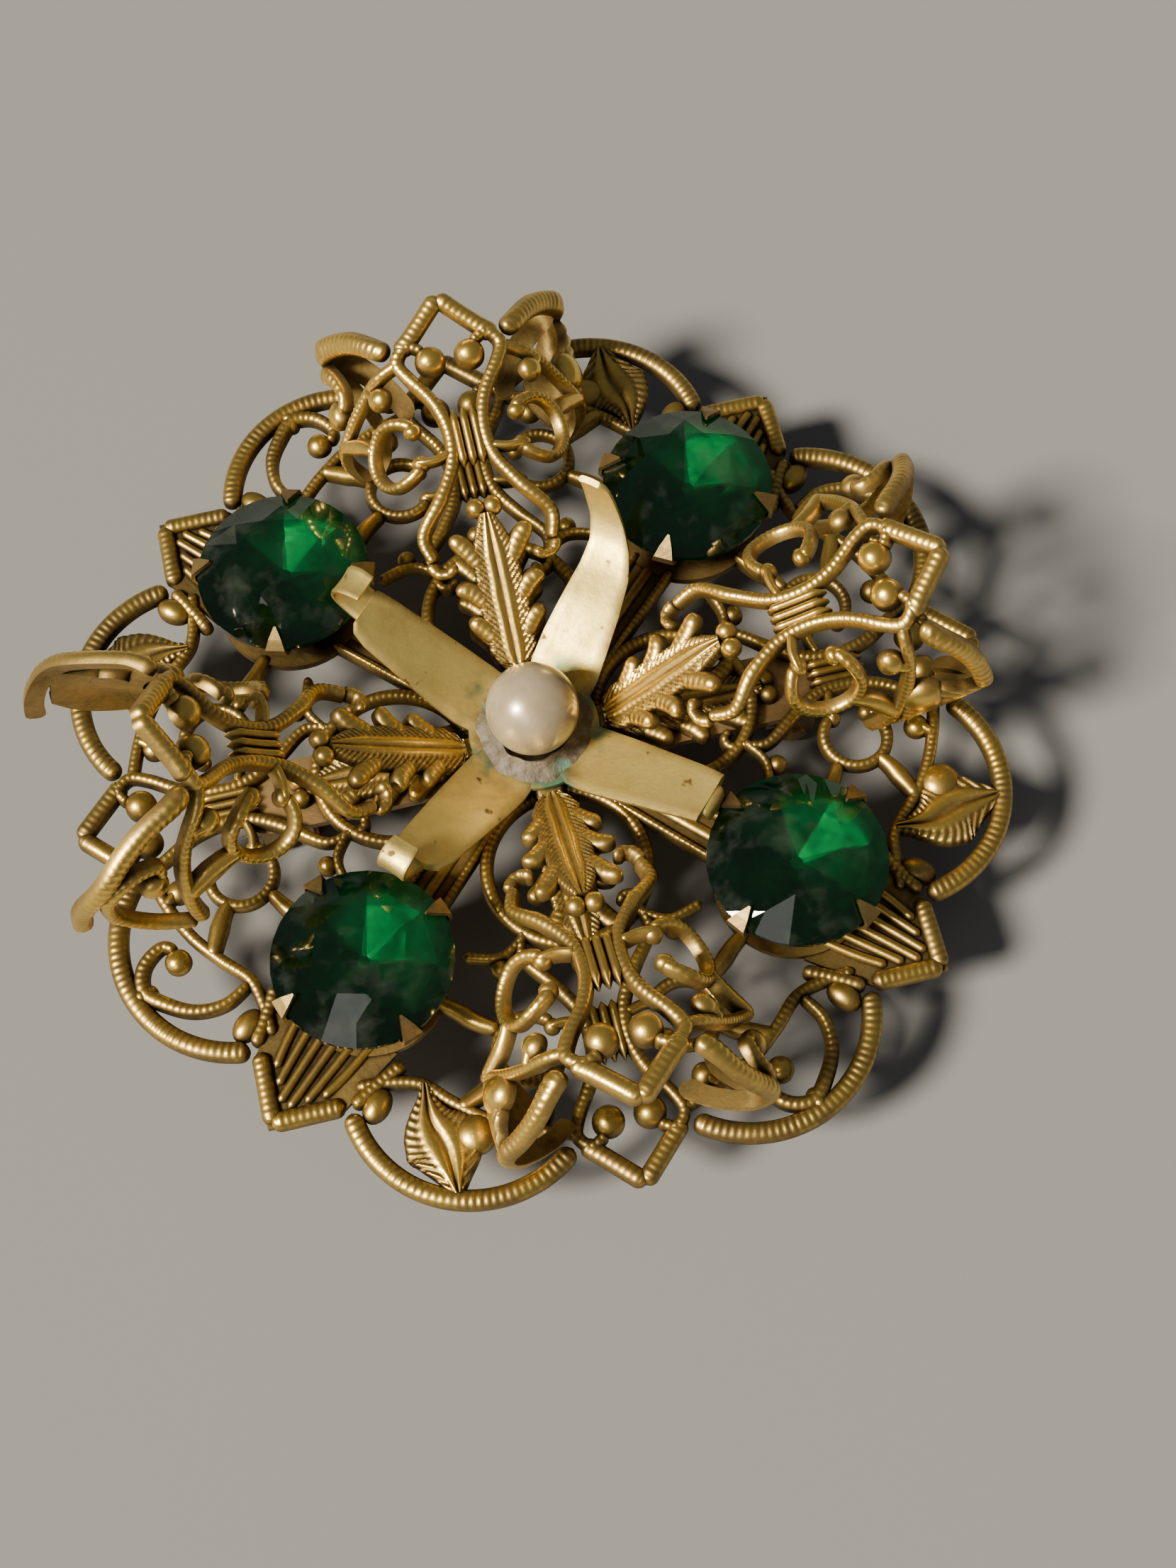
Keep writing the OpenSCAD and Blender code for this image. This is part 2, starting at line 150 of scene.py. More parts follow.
class Bend:
    """Carries points of the flat stamping to the brooch. With no slopes it stays flat."""

    def __init__(self, azimuth, back, slopes=None, folds=None):
        a = math.radians(azimuth)
        self.turn = np.array([[math.cos(a), math.sin(a)], [-math.sin(a), math.cos(a)]])
        self.back = back
        self.flat = slopes is None
        if self.flat:
            return
        step = 0.1
        self.u = np.arange(0, 34, step)
        self.slope_at = [SLOPE_AT[0], SLOPE_AT[0] + 0.8] + list(SLOPE_AT[1:])
        self.slopes = np.radians([0, slopes[0], slopes[0]] + list(slopes[1:]))
        # Places along the bent axis, added up in small steps
        middle = np.interp(self.u[:-1] + step / 2, self.slope_at, self.slopes)
        self.x = np.concatenate([[0], np.cumsum(step * np.cos(middle))])
        self.z = np.concatenate([[0], np.cumsum(step * np.sin(middle))])
        self.v = np.arange(0, 20, step)
        self.sides = []
        for down, under in folds:
            angles = np.radians([0, down, down, under])
            middle = np.interp(self.v[:-1] + step / 2, FOLD_AT, angles)
            across = np.concatenate([[0], np.cumsum(step * np.cos(middle))])
            drop = np.concatenate([[0], np.cumsum(step * np.sin(middle))])
            self.sides.append((angles, across, drop))

    def place(self, uv, h):
        """Where flat points uv land when they are h over the back of the sheet."""
        u, v = uv[..., 0], uv[..., 1]
        if self.flat:
            xyz = np.stack([u, v, np.broadcast_to(h, u.shape)], -1)
        else:
            slope = np.interp(u, self.slope_at, self.slopes)
            far = np.abs(v)
            fold = np.where(v >= 0, np.interp(far, FOLD_AT, self.sides[0][0]),
                            np.interp(far, FOLD_AT, self.sides[1][0]))
            across = np.where(v >= 0, np.interp(far, self.v, self.sides[0][1]),
                              np.interp(far, self.v, self.sides[1][1]))
            drop = np.where(v >= 0, np.interp(far, self.v, self.sides[0][2]),
                            np.interp(far, self.v, self.sides[1][2]))
            lift = h * np.cos(fold) - drop
            xyz = np.stack([np.interp(u, self.u, self.x) - lift * np.sin(slope),
                            np.where(v >= 0, 1, -1) * (across + h * np.sin(fold)),
                            np.interp(u, self.u, self.z) + lift * np.cos(slope)], -1)
        out = xyz.copy()
        out[..., :2] = xyz[..., :2] @ self.turn
        out[..., 2] += self.back
        return out


# ---- meshes ----

BACK_SPREAD = 0.06       # how far the backs of crossing ornaments may lie apart
BACK_STEP = 0.618        # each back's step within that spread, as a share of it


class Shape:
    """Grids of points gathered as one mesh. Tone runs from 0, rubbed bright, to 1, dark."""

    def __init__(self, first_back=0.0):
        self.points = []
        self.tones = []
        self.faces = []
        self.material_numbers = []
        self.count = 0
        self.backs = first_back

    def back(self):
        """A height for the next ornament's back: no two are the same, so none coincide."""
        self.backs += 1
        return BACK_SPREAD * (BACK_STEP * self.backs % 1)

    def add(self, points, tone, faces):
        """New points, and faces over them in the first material."""
        flat = points.reshape(-1, 3)
        self.faces += [[self.count + i for i in face] for face in faces]
        self.material_numbers += [0] * len(faces)
        self.points.append(flat)
        self.tones.append(np.broadcast_to(tone, points.shape[:-1]).reshape(-1))
        self.count += len(flat)

    def tube(self, rings, tone, joined=False):
        """A closed skin over rings of points; joined makes the last ring meet the first."""
        n, m = rings.shape[:2]
        faces = []
        for i in range(n if joined else n - 1):
            a, b = i * m, (i + 1) % n * m
            faces += [(a + j, b + j, b + (j + 1) % m, a + (j + 1) % m) for j in range(m)]
        if not joined:
            faces.append(list(range(m)))
            faces.append([(n - 1) * m + j for j in range(m - 1, -1, -1)])
        self.add(rings, tone, faces)

    def build(self, name, body, materials, nodes, smooth=True):
        """Make the mesh a piece that rides on a body and stands for the named CAD nodes."""
        mesh = bpy.data.meshes.new(name)
        mesh.from_pydata((np.vstack(self.points) * MM).tolist(), [], self.faces)
        mesh.polygons.foreach_set("use_smooth", [smooth] * len(mesh.polygons))
        mesh.polygons.foreach_set("material_index", self.material_numbers)
        attribute = mesh.attributes.new("tone", "FLOAT", "POINT")
        attribute.data.foreach_set("value", np.clip(np.concatenate(self.tones), 0, 1))
        for material in materials:
            mesh.materials.append(material)
        mesh.validate()
        if smooth:
            mesh.set_sharp_from_angle(angle=math.radians(50))
        made = bpy.data.objects.new(name, mesh)
        bpy.context.scene.collection.objects.link(made)
        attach(made, body)
        if nodes:
            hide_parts(*nodes)
        return made


# ---- ornaments of the stamping ----

def groove(phase):
    """1 at the bottom of each cut of a milled edge, 0 on the ridges between."""
    return 0.5 + 0.5 * np.cos(2 * np.pi * phase)


def wire(shape, bend, path, width, height=RELIEF, pitch=0.38, cut=0.055):
    """A domed wire along a path, milled across with ridges pitch apart. Width may vary evenly."""
    path = np.array(path)
    if not pitch:
        path = path[np.linspace(0, len(path) - 1, max(8, len(path) // 2)).astype(int)]
    along = lengths(path)
    total = along[-1]
    tangent = np.gradient(path, axis=0)
    tangent /= np.linalg.norm(tangent, axis=1)[:, None]
    normal = np.stack([-tangent[:, 1], tangent[:, 0]], 1)
    half = np.interp(along / total, np.linspace(0, 1, np.size(width)), np.ravel(width)) / 2
    near_end = np.minimum(along, total - along)
    # 1 along the wire, and less round its ends
    rounded = np.sqrt(np.clip(1 - (1 - np.clip(near_end / half, 0, 1)) ** 2, 0.02, 1))
    wear = 0.75 + 0.25 * np.sin(1.3 * along + 5.1 * path[0, 0])
    cuts = groove(along / pitch) * wear if pitch else np.zeros(len(along))
    # The section, from the foot of one side over the crest to the foot of the other
    t = np.linspace(0, np.pi, 9)
    across = np.concatenate([[-1], -np.cos(t), [1]])
    rise = np.concatenate([[0], 0.3 + 0.7 * np.sin(t) ** 0.75, [0]])
    exposed = np.concatenate([[0], np.sin(t) ** 1.3, [0]])
    wide = (half * rounded)[:, None] * across
    h = height * (0.5 + 0.5 * rounded[:, None]) * rise - cut * cuts[:, None] * exposed
    uv = path[:, None, :] + wide[..., None] * normal[:, None, :]
    tone = 0.6 * cuts[:, None] * exposed + 1.1 * (1 - rise) ** 1.2
    shape.tube(bend.place(uv, np.maximum(h, shape.back())), tone)


def ball(shape, bend, at, radius, long=None, height=None, turned=0):
    """A domed bead over a flat back. It may be oblong, and turned in the sheet."""
    long = long or radius
    height = height or 0.55 + 0.6 * radius
    back = shape.back()
    rings = []
    a = np.linspace(0, 2 * np.pi, 22, endpoint=False)
    spin = math.radians(turned)
    for t in np.radians([0, 0, 12, 25, 38, 51, 64, 76, 86]):
        r = math.cos(t)
        h = (0.3 + 0.7 * math.sin(t)) * height if rings else back    # the back comes first
        x, y = long * r * np.cos(a), radius * r * np.sin(a)
        uv = np.stack([x * math.cos(spin) - y * math.sin(spin),
                       x * math.sin(spin) + y * math.cos(spin)], 1) + at
        rings.append(bend.place(uv, np.full(len(a), h)))
    rings = np.array(rings)
    tone = np.linspace(1, 0, len(rings))[:, None] ** 2.5
    shape.tube(rings[:, ::-1], tone)


def leaf(shape, bend, path, widths, border=0.55, pitch=0.5, lean=0.9, height=RELIEF, vein=0.2):
    """A leaf along a path: a veined, domed middle, and edges cut with slanting ridges."""
    path = np.array(path)
    along = lengths(path)
    tangent = np.gradient(path, axis=0)
    tangent /= np.linalg.norm(tangent, axis=1)[:, None]
    normal = np.stack([-tangent[:, 1], tangent[:, 0]], 1)
    half = np.interp(along / along[-1], np.linspace(0, 1, len(widths)), widths) / 2
    t = np.linspace(-1, 1, 27)
    a = np.abs(t)
    side = half[:, None] * t
    # The cut border, the line that bounds it, and the crease down the middle
    edge = smoothstep(a, border - 0.05, border + 0.1)
    cuts = groove((along[:, None] - lean * np.abs(side)) / pitch) * edge
    line = np.exp(-((a - border) / 0.07) ** 2)
    crease = np.exp(-(a / 0.11) ** 2)
    dome = 0.62 + 0.38 * np.sqrt(1 - 0.75 * a * a) - 0.15 * smoothstep(a, 0.9, 1)
    h = height * dome - 0.13 * cuts - 0.08 * line - vein * crease
    under = t[::-1][::2]
    uv_top = path[:, None, :] + side[..., None] * normal[:, None, :]
    uv_under = path[:, None, :] + (half[:, None] * under)[..., None] * normal[:, None, :]
    top = bend.place(uv_top, h)
    bottom = bend.place(uv_under, np.full(uv_under.shape[:2], shape.back()))
    tone = 0.65 * cuts + 0.4 * line + 0.75 * crease * (vein > 0) + 0.35 * smoothstep(a, 0.85, 1)
    dark = np.full(bottom.shape[:2], 1.0)
    shape.tube(np.concatenate([top, bottom], 1), np.concatenate([tone, dark], 1))


ARCH_CENTRE = polar(21.85, 22.5)
ARCH_R = 7.4
CORNER_APEX = (28.72, 0)
ROSETTE_EDGE = (7, 84.7)  # points of a scallop that are drawn, and where its arch ends
PETAL_EDGE = (5, 60)      # a petal's edge wires stop sooner, clear of the rosette
# Stops of the scalloped wire inside the arches, and of the lyre's wire
SCALLOP = [polar(r, a) for r, a in
           ((25.3, 6.5), (24.9, 13), (24.4, 19), (23.7, 24.5), (23.1, 29.5), (23.6, 34), (24.6, 38))]
LYRE = ((12.3, 3.6), (14, 3.9), (16, 2.5), (18, 1.35), (20, 1.1), (22, 1.6), (24, 2.8), (25.2, 3.2),
        (26.0, 2.5), (25.5, 1.5))
# Widths of the acanthus from its root to its tip, and the stems of the lobes on one side
ACANTHUS_W = (1.3, 2.2, 3.0, 3.0, 2.9, 3.1, 3.3, 3.0, 2.9, 3.0, 2.4, 1.7, 0.9)
ACANTHUS_LOBES = (
    ((6.6, 0.8), (7.7, 1.6), (8.3, 2.4)),
    ((8.9, 0.9), (10.0, 1.8), (10.4, 2.8)),
    ((11.3, 0.8), (12.6, 1.6), (13.6, 2.5)),
)


def square_corner(shape, bend, reach=4.3):
    """Two milled wires that meet at a square corner."""
    apex = np.array(CORNER_APEX)
    for side in (-1, 1):
        leg = reach * np.array([-1, side]) / math.sqrt(2)
        wire(shape, bend, curve([apex - 0.1 * leg / reach, apex + leg / 2, apex + leg]), 1.15,
             pitch=0.42)


def arch(shape, bend, side, end):
    path = flip(arc(ARCH_CENTRE, ARCH_R, -39.7, end), side)
    wire(shape, bend, path, 1.25, pitch=0.43, cut=0.065)


def scallop(shape, bend, side, stops):
    wire(shape, bend, flip(curve(SCALLOP[:stops]), side), 0.78, height=0.85)


def c_scroll(shape, bend, side):
    """The milled ring beside the axis, open towards it, with a bead at each end."""
    wire(shape, bend, flip(arc((19.5, 4.7), 2.0, -52, 232), side), 0.74, height=0.9)
    for at in ((18.45, 3.15), (20.6, 3.25)):
        ball(shape, bend, flip(at, side), 0.52)
    ball(shape, bend, flip((23.4, 4.9), side), 0.78)
    wire(shape, bend, flip(curve([(23.2, 4.6), (23.9, 5.3), (24.4, 5.7)]), side), 0.7, pitch=0)
    wire(shape, bend, flip(curve([(18.5, 3.4), (18.4, 2.4), (18.7, 1.2)]), side), 0.6, pitch=0)
    wire(shape, bend, flip(curve([(20.4, 6.2), (21.2, 7.4), (22.1, 9.6)]), side),
         (0.8, 1.2, 0.9), pitch=0)


def lyre(shape, bend):
    """Two wires that nearly meet, with smooth bars between them and curled ends."""
    for side in (-1, 1):
        wire(shape, bend, flip(curve(LYRE), side), (0.6, 0.85, 0.92, 0.82, 0.72))
        ball(shape, bend, (24.8, side * 1.25), 0.98, height=1.35)
    for v in (-0.62, 0, 0.62):
        wire(shape, bend, [(u, v) for u in np.linspace(17.7, 21.4, 20)], 0.64, pitch=0)


def acanthus(shape, bend):
    """The lobed leaf over a petal's root: a broad grooved blade with short lobes that curl out."""
    leaf(shape, bend, curve([(4.4, 0), (9, 0), (14.6, 0)]), ACANTHUS_W, border=0.42, pitch=0.42,
         lean=1.1, vein=0.14)
    for side in (-1, 1):
        for stem in ACANTHUS_LOBES:
            wire(shape, bend, flip(curve(stem), side), (1.0, 1.3, 1.25, 0.9), height=0.9, pitch=0.42,
                 cut=0.05)
        wire(shape, bend, flip(curve([(12.3, 3.9), (11.6, 3.5), (11.5, 2.9), (12.0, 2.5)]), side),
             (0.7, 0.6))
        ball(shape, bend, (15.0, side * 0.55), 0.62)


def tulip(shape, bend):
    """The broad leaf that fills one arch, with a boss on its side."""
    leaf(shape, bend, curve([(20.2, -11.2), (22.3, -11.3), (24.4, -10.7), (26.9, -10.6)], 0.08),
         (0.7, 1.2, 2.4, 3.9, 4.7, 4.4, 3.4, 2.0, 0.8), border=0.5, pitch=0.5, lean=-0.7)
    ball(shape, bend, (23.7, -8.9), 1.25, height=1.2)


def hook_scroll(shape, bend):
    """The curled wire that fills the next arch."""
    wire(shape, bend, curve([(20.2, 11.7), (21.8, 12.6), (23.6, 12.6), (25.2, 11.8), (26.4, 10.7),
                             (26.2, 9.2), (25.0, 8.2), (24.1, 8.6)]),
         (0.7, 0.8, 0.9, 1.0, 0.9, 0.7), pitch=0.4)
    ball(shape, bend, (24.15, 9.3), 0.82)
    wire(shape, bend, curve([(26.3, 10.6), (26.9, 11.3)]), 0.9, pitch=0)
    ball(shape, bend, polar(28.25, 22.5), 0.5)


def stamped_sector(rim, inner, bend, edge):
    """What the rosette and the petals have in common: the edge wires, and the ornaments within."""
    stops, arch_end = edge
    acanthus(inner, bend)
    lyre(inner, bend)
    tulip(inner, bend)
    hook_scroll(inner, bend)
    square_corner(rim, bend)
    for side in (-1, 1):
        arch(rim, bend, side, arch_end)
        scallop(rim, bend, side, stops)
        c_scroll(inner, bend, side)


def plate(shape, bend, outline, top, tone=0.5):
    """A plain flat plate."""
    outline = np.array(outline, float)
    n = len(outline)
    rings = np.array([bend.place(outline, np.full(n, h)) for h in (shape.back(), top)])
    shape.tube(rings[:, ::-1], tone)


def disc(radius, sides=48, at=(0, 0)):
    a = np.linspace(0, 2 * np.pi, sides, endpoint=False)
    return np.stack([at[0] + radius * np.cos(a), at[1] + radius * np.sin(a)], 1)


def stone_axis(shape, bend):
    """Spoke, seat and solid ribbed corner on a stone's diagonal."""
    plate(shape, bend, disc(4.8, at=(STONE_AT, 0)), 0.6, 0.7)
    plate(shape, bend, [(2.5, -1.3), (14.6, -1.3), (14.6, 1.3), (2.5, 1.3)], 0.5, 0.6)
    corner = [(29.2, 0), (26.1, 3.15), (21.5, 3.9), (21.5, -3.9), (26.1, -3.15)]
    plate(shape, bend, corner, 0.45, 0.75)
    square_corner(shape, bend)
    wire(shape, bend, [(u, 0) for u in np.linspace(3.5, 14.2, 60)], 0.9, height=0.75, pitch=0)
    for side in (-1, 1):
        wire(shape, bend, curve([(3.4, side * 1.15), (9, side * 1.2), (14.4, side * 1.3)]), 0.58)
        wire(shape, bend, curve([(25.5, side * 3.5), (23.6, side * 4.0), (21.8, side * 4.6)]), 0.9,
             pitch=0.4)
    for v in (-2.1, -1.25, -0.42, 0.42, 1.25, 2.1):
        wire(shape, bend, curve([(21.4, 1.15 * v), (24, v), (28.0 - 0.95 * abs(v), 0.8 * v)]), 0.66,
             height=0.78, pitch=0)


def rosette():
    """The flat stamping at the back, all the way round, as an edge and its ornaments."""
    rim = Shape()
    inner = Shape(0.5)    # its backs fall between those of the rim
    for quarter in range(4):
        bend = Bend(90 * quarter, SHEET_BACK)
        stamped_sector(rim, inner, bend, ROSETTE_EDGE)
        wire(rim, bend, arc((8.9, 0), 4.95, -179, 179), 0.85, pitch=0.4)
        for side in (-1, 1):
            wire(rim, bend, flip(curve([(18.0, 6.2), (17.2, 7.4), (16.2, 8.5), (15.4, 9.6)]), side),
                 (0.8, 1.1, 0.8), pitch=0)
            wire(inner, bend, flip(curve([(12.6, 3.4), (13.6, 5.2), (13.1, 7.4)]), side), 0.62)
            ball(rim, bend, polar(25.1, side * 34.4), 0.8, long=1.15, turned=side * 40)
            ball(inner, bend, flip((14.25, 5.35), side), 0.62)
        stone_axis(rim, Bend(90 * quarter + 45, SHEET_BACK))
    plate(rim, Bend(0, SHEET_BACK), disc(4.0), RELIEF, 0.8)
    rim.build("rosette_rim", "brooch", [gilt_dark], ["base_filigree"])
    inner.build("rosette_ornaments", "brooch", [gilt_dark], [])


def petals():
    """The four stampings that are bent up, each with the tab that the claw holds down."""
    for name, (azimuth, slopes, folds) in PETALS.items():
        shape = Shape()
        bend = Bend(azimuth, HUB_TOP, slopes, folds)
        stamped_sector(shape, shape, bend, PETAL_EDGE)
        root = np.linspace(1.4, 5.2, 20)
        leaf(shape, bend, np.stack([root, 0 * root], 1), (2.4, 2.4, 1.8, 1.5), border=0.9, height=TAB,
             vein=0)
        shape.build(name + "_stamping", "brooch", [gilt_bright], [name])


# ---- claw ----

def bent_strip(shape, azimuth, stops, thickness, dish=0.0):
    """A strip of sheet bent smoothly through stops of (radius, height, width, sideways)."""
    stops = np.array(stops, float)
    line = curve(stops[:, :2], 0.12)
    at = lengths(stops[:, :2])
    along = lengths(line)
    wide = np.interp(along / along[-1], at / at[-1], stops[:, 2]) / 2
    swing = np.interp(along / along[-1], at / at[-1], stops[:, 3])
    tangent = np.gradient(line, axis=0)
    tangent /= np.linalg.norm(tangent, axis=1)[:, None]
    up = np.stack([-tangent[:, 1], tangent[:, 0]], 1)
    n = 13
    t = np.concatenate([np.linspace(-1, 1, n), np.linspace(1, -1, n)])
    lift = np.concatenate([np.full(n, 0.5), np.full(n, -0.5)]) * thickness
    soften = np.where(np.abs(t) > 0.98, 0.55, 1)
    sag = dish * (t * t)
    r = line[:, 0][:, None] + up[:, 0][:, None] * (lift * soften + sag)
    z = line[:, 1][:, None] + up[:, 1][:, None] * (lift * soften + sag)
    y = wide[:, None] * t + swing[:, None]
    a = math.radians(azimuth)
    points = np.stack([r * math.cos(a) - y * math.sin(a), r * math.sin(a) + y * math.cos(a), z], -1)
    edge = np.clip(np.abs(t) ** 8, 0, 1) * 0.35
    shape.tube(points, np.broadcast_to(edge, points.shape[:2]))


ARM = ((2.4, 0, 4.1, 0), (3.4, 0.02, 4.3, 0), (4.4, 0.2, 4.45, 0), (6, 0.95, 4.35, 0),
       (8.5, 2.25, 4.0, 0), (11, 3.5, 3.6, 0), (11.9, 3.95, 3.2, -0.1), (12.2, 4.1, 2.6, -0.3))
RAISED_ARM = ((2.4, 0, 4.1, 0), (3.4, 0.02, 4.3, 0), (4.4, 0.3, 4.45, 0), (6, 1.35, 4.3, 0),
              (8.2, 2.3, 3.9, 0), (10.4, 3.0, 3.3, 0.1), (11.8, 3.7, 2.7, 0.4), (12.8, 4.7, 2.3, 1.0),
              (13.4, 5.8, 2.1, 1.7), (13.7, 6.9, 1.9, 2.3), (13.6, 7.3, 1.4, 2.6))
LEVEL_ARM = ((2.4, 0, 4.1, 0), (3.4, 0.02, 4.3, 0), (4.4, 0.2, 4.45, 0), (6, 0.95, 4.35, 0),
             (8.5, 2.2, 4.0, 0), (11, 3.4, 3.7, 0), (12.4, 3.95, 3.4, 0))
CLAW_ARMS = (
    # azimuth, arm, tongue
    (51, RAISED_ARM, None),
    (136, ARM, ((11.6, 3.8, 2.2, -0.4), (12.9, 4.4, 2.2, -0.5), (13.7, 5.1, 2.1, -0.5),
                (13.6, 5.9, 2.1, -0.5), (12.8, 6.3, 2.0, -0.5), (12.0, 6.25, 1.8, -0.5))),
    (223, ARM, ((11.6, 3.8, 2.1, -0.3), (12.9, 4.4, 2.0, -0.4), (13.6, 5.1, 1.9, -0.4),
                (13.5, 5.8, 1.9, -0.4), (12.8, 6.15, 1.9, -0.4), (12.1, 6.1, 1.7, -0.4))),
    (316, LEVEL_ARM, ((12.2, 3.9, 2.1, 0), (12.6, 3.8, 2.1, 0), (12.75, 3.4, 2.0, 0),
                      (12.8, 3.0, 1.8, 0))),
)


def claw():
    """A plain disc with four arms over the petals' roots."""
    shape = Shape()
    middle = Bend(0, CLAW_Z)
    a = np.linspace(0, 2 * np.pi, 96, endpoint=False)
    soft = 0.05           # how far the rim's edges are rounded off
    profile = ((RIVET_HOLE_R, 0), (CLAW_DISC_R - soft, 0), (CLAW_DISC_R, 2 * soft),
               (CLAW_DISC_R, CLAW_T - 2 * soft), (CLAW_DISC_R - soft, CLAW_T), (RIVET_HOLE_R, CLAW_T))
    rings = np.array([[middle.place(np.array([r * math.cos(t), r * math.sin(t)]), h)
                       for r, h in profile] for t in a])
    shape.tube(rings, 0.0, joined=True)
    lift = np.array([0, CLAW_Z + CLAW_T / 2, 0, 0])
    for azimuth, arm, tongue in CLAW_ARMS:
        bent_strip(shape, azimuth, np.array(arm) + lift, CLAW_T, dish=0.05)
        if tongue:
            bent_strip(shape, azimuth, np.array(tongue) + lift, 0.36, dish=-0.1)
    shape.build("claw_sheet", "brooch", [claw_brass], ["claw"])


# ---- pearl, its cup, and the old glue round it ----

def turned(shape, profile, z, sides=64, wobble=0.0):
    """A profile of (radius, height over z) turned round the brooch's axis, more or less evenly."""
    rings = []
    for k in range(sides):
        a = 2 * math.pi * k / sides
        swell = 1 + wobble * (math.sin(3 * a + 1) + 0.6 * math.sin(7 * a) + 0.4 * math.sin(13 * a + 2))
        rings.append([[r * swell * math.cos(a), r * swell * math.sin(a), z + h] for r, h in profile])
    shape.tube(np.array(rings), 0.3, joined=True)


def centre_piece():
    """The pearl, flat under its foot, its cup, and the film of glue that has crept out."""
    cup = Shape()
    turned(cup, ((RIVET_HOLE_R, 0), (2.1, 0), (2.5, 0.4), (2.55, 0.55), (2.4, 0.5), (2.0, 0.25),
                 (RIVET_HOLE_R, 0.25)), CUP_Z)
    cup.build("cup_metal", "brooch", [gilt_dark], ["pearl_cup"])
    glue = Shape()
    turned(glue, ((2.2, 0), (3.6, 0), (3.5, 0.07), (3.1, 0.16), (2.75, 0.5), (2.5, 0.72), (2.3, 0.5)),
           CUP_Z + 0.01, sides=160, wobble=0.035)
    glue.build("old_glue", "brooch", [glue_dust], [])
    pearl = Shape()
    flat = CUP_Z + 0.55 - PEARL_Z
    start = math.degrees(math.asin(flat / PEARL_R))
    profile = [(0.01, flat)]
    profile += [(PEARL_R * math.cos(math.radians(t)), PEARL_R * math.sin(math.radians(t)))
                for t in np.linspace(start, 89.8, 40)]
    turned(pearl, profile, PEARL_Z, sides=80)
    pearl.build("pearl_bead", "brooch", [pearl_skin], ["pearl"])


# ---- stones ----

def stone(index, name):
    """A round stone: table, stars, kites, upper girdle facets, and a pavilion with a coated back."""
    azimuth = math.radians(STONE_ANGLES[index])
    spin = STONE_SPINS[index]
    table_z = GIRDLE_Z + GIRDLE_T + CROWN
    kite_z = GIRDLE_Z + GIRDLE_T + KITE_RISE * CROWN
    between = 22.5        # half of a main facet's angle
    levels = (
        (CULET_Z, CULET_R, 8, 0), (LOW_RING_Z, LOW_RING_R, 8, between),
        (GIRDLE_Z, STONE_R, GIRDLE_SIDES, 0), (GIRDLE_Z + GIRDLE_T, STONE_R, GIRDLE_SIDES, 0),
        (kite_z, KITE_OUT * STONE_R, 8, between), (table_z, TABLE_SHARE * STONE_R, 8, 0),
    )
    points = []
    first = []
    for z, r, n, turn in levels:
        first.append(len(points))
        for j in range(n):
            a = math.radians(spin + turn + 360 * j / n)
            points.append((STONE_AT * math.cos(azimuth) + r * math.cos(a),
                           STONE_AT * math.sin(azimuth) + r * math.sin(a), HUB_TOP + z))
    culet, low, girdle, top, kite, table = first    # number of each level's first corner
    crown = [[table + j for j in range(8)]]
    back = [[culet + j for j in range(7, -1, -1)]]
    for j in range(8):
        k = (j + 1) % 8
        here = 4 * j
        crown.append([table + k, table + j, kite + j])
        crown.append([table + j, kite + (j + 7) % 8, top + here, kite + j])
        crown.append([kite + j] + [top + here + i for i in range(3)])
        crown.append([kite + j] + [top + (here + i) % GIRDLE_SIDES for i in range(2, 5)])
        back.append([culet + j, culet + k, low + j])
        back.append([culet + j, low + j, low + (j + 7) % 8])
        back.append([low + j, girdle + here, low + (j + 7) % 8])
        back.append([low + j] + [girdle + (here + i) % GIRDLE_SIDES for i in range(2, -1, -1)])
        back.append([low + j] + [girdle + (here + i) % GIRDLE_SIDES for i in range(4, 1, -1)])
    rim = []
    for j in range(GIRDLE_SIDES):
        k = (j + 1) % GIRDLE_SIDES
        rim.append([girdle + j, girdle + k, top + k, top + j])
    shape = Shape()
    shape.add(np.array(points), 0.0, crown + rim)
    shape.faces += back
    shape.material_numbers += [1] * len(back)    # the coat is the second material
    shape.build(name + "_glass", "brooch", [green_glass, foil], [name], smooth=False)


# ---- materials ----

def new_material(name):
    material = bpy.data.materials.new(name)
    material.use_nodes = True
    nodes = material.node_tree.nodes
    return material, nodes, material.node_tree.links, nodes["Principled BSDF"]


def object_noise(nodes, links, scale, detail, seed):
    """Noise fixed to the piece. Scale is in features a metre."""
    place = nodes.new("ShaderNodeTexCoord")
    shift = nodes.new("ShaderNodeVectorMath")
    shift.operation = "ADD"
    shift.inputs[1].default_value = (seed, 0.7 * seed, 0.3 * seed)
    noise = nodes.new("ShaderNodeTexNoise")
    noise.inputs["Scale"].default_value = scale
    noise.inputs["Detail"].default_value = detail
    noise.inputs["Roughness"].default_value = 0.6
    links.new(place.outputs["Object"], shift.inputs[0])
    links.new(shift.outputs["Vector"], noise.inputs["Vector"])
    return noise.outputs["Fac"]


def remap(nodes, links, value, low, high, to_low=0.0, to_high=1.0):
    node = nodes.new("ShaderNodeMapRange")
    node.inputs["From Min"].default_value = low
    node.inputs["From Max"].default_value = high
    node.inputs["To Min"].default_value = to_low
    node.inputs["To Max"].default_value = to_high
    links.new(value, node.inputs["Value"])
    return node.outputs["Result"]


def sum_of(nodes, links, a, b, weight_b=1.0):
    """a + weight_b * b, held between 0 and 1."""
    node = nodes.new("ShaderNodeMath")
    node.operation = "MULTIPLY_ADD"
    node.use_clamp = True
    node.inputs[1].default_value = weight_b
    links.new(b, node.inputs[0])
    links.new(a, node.inputs[2])
    return node.outputs["Value"]


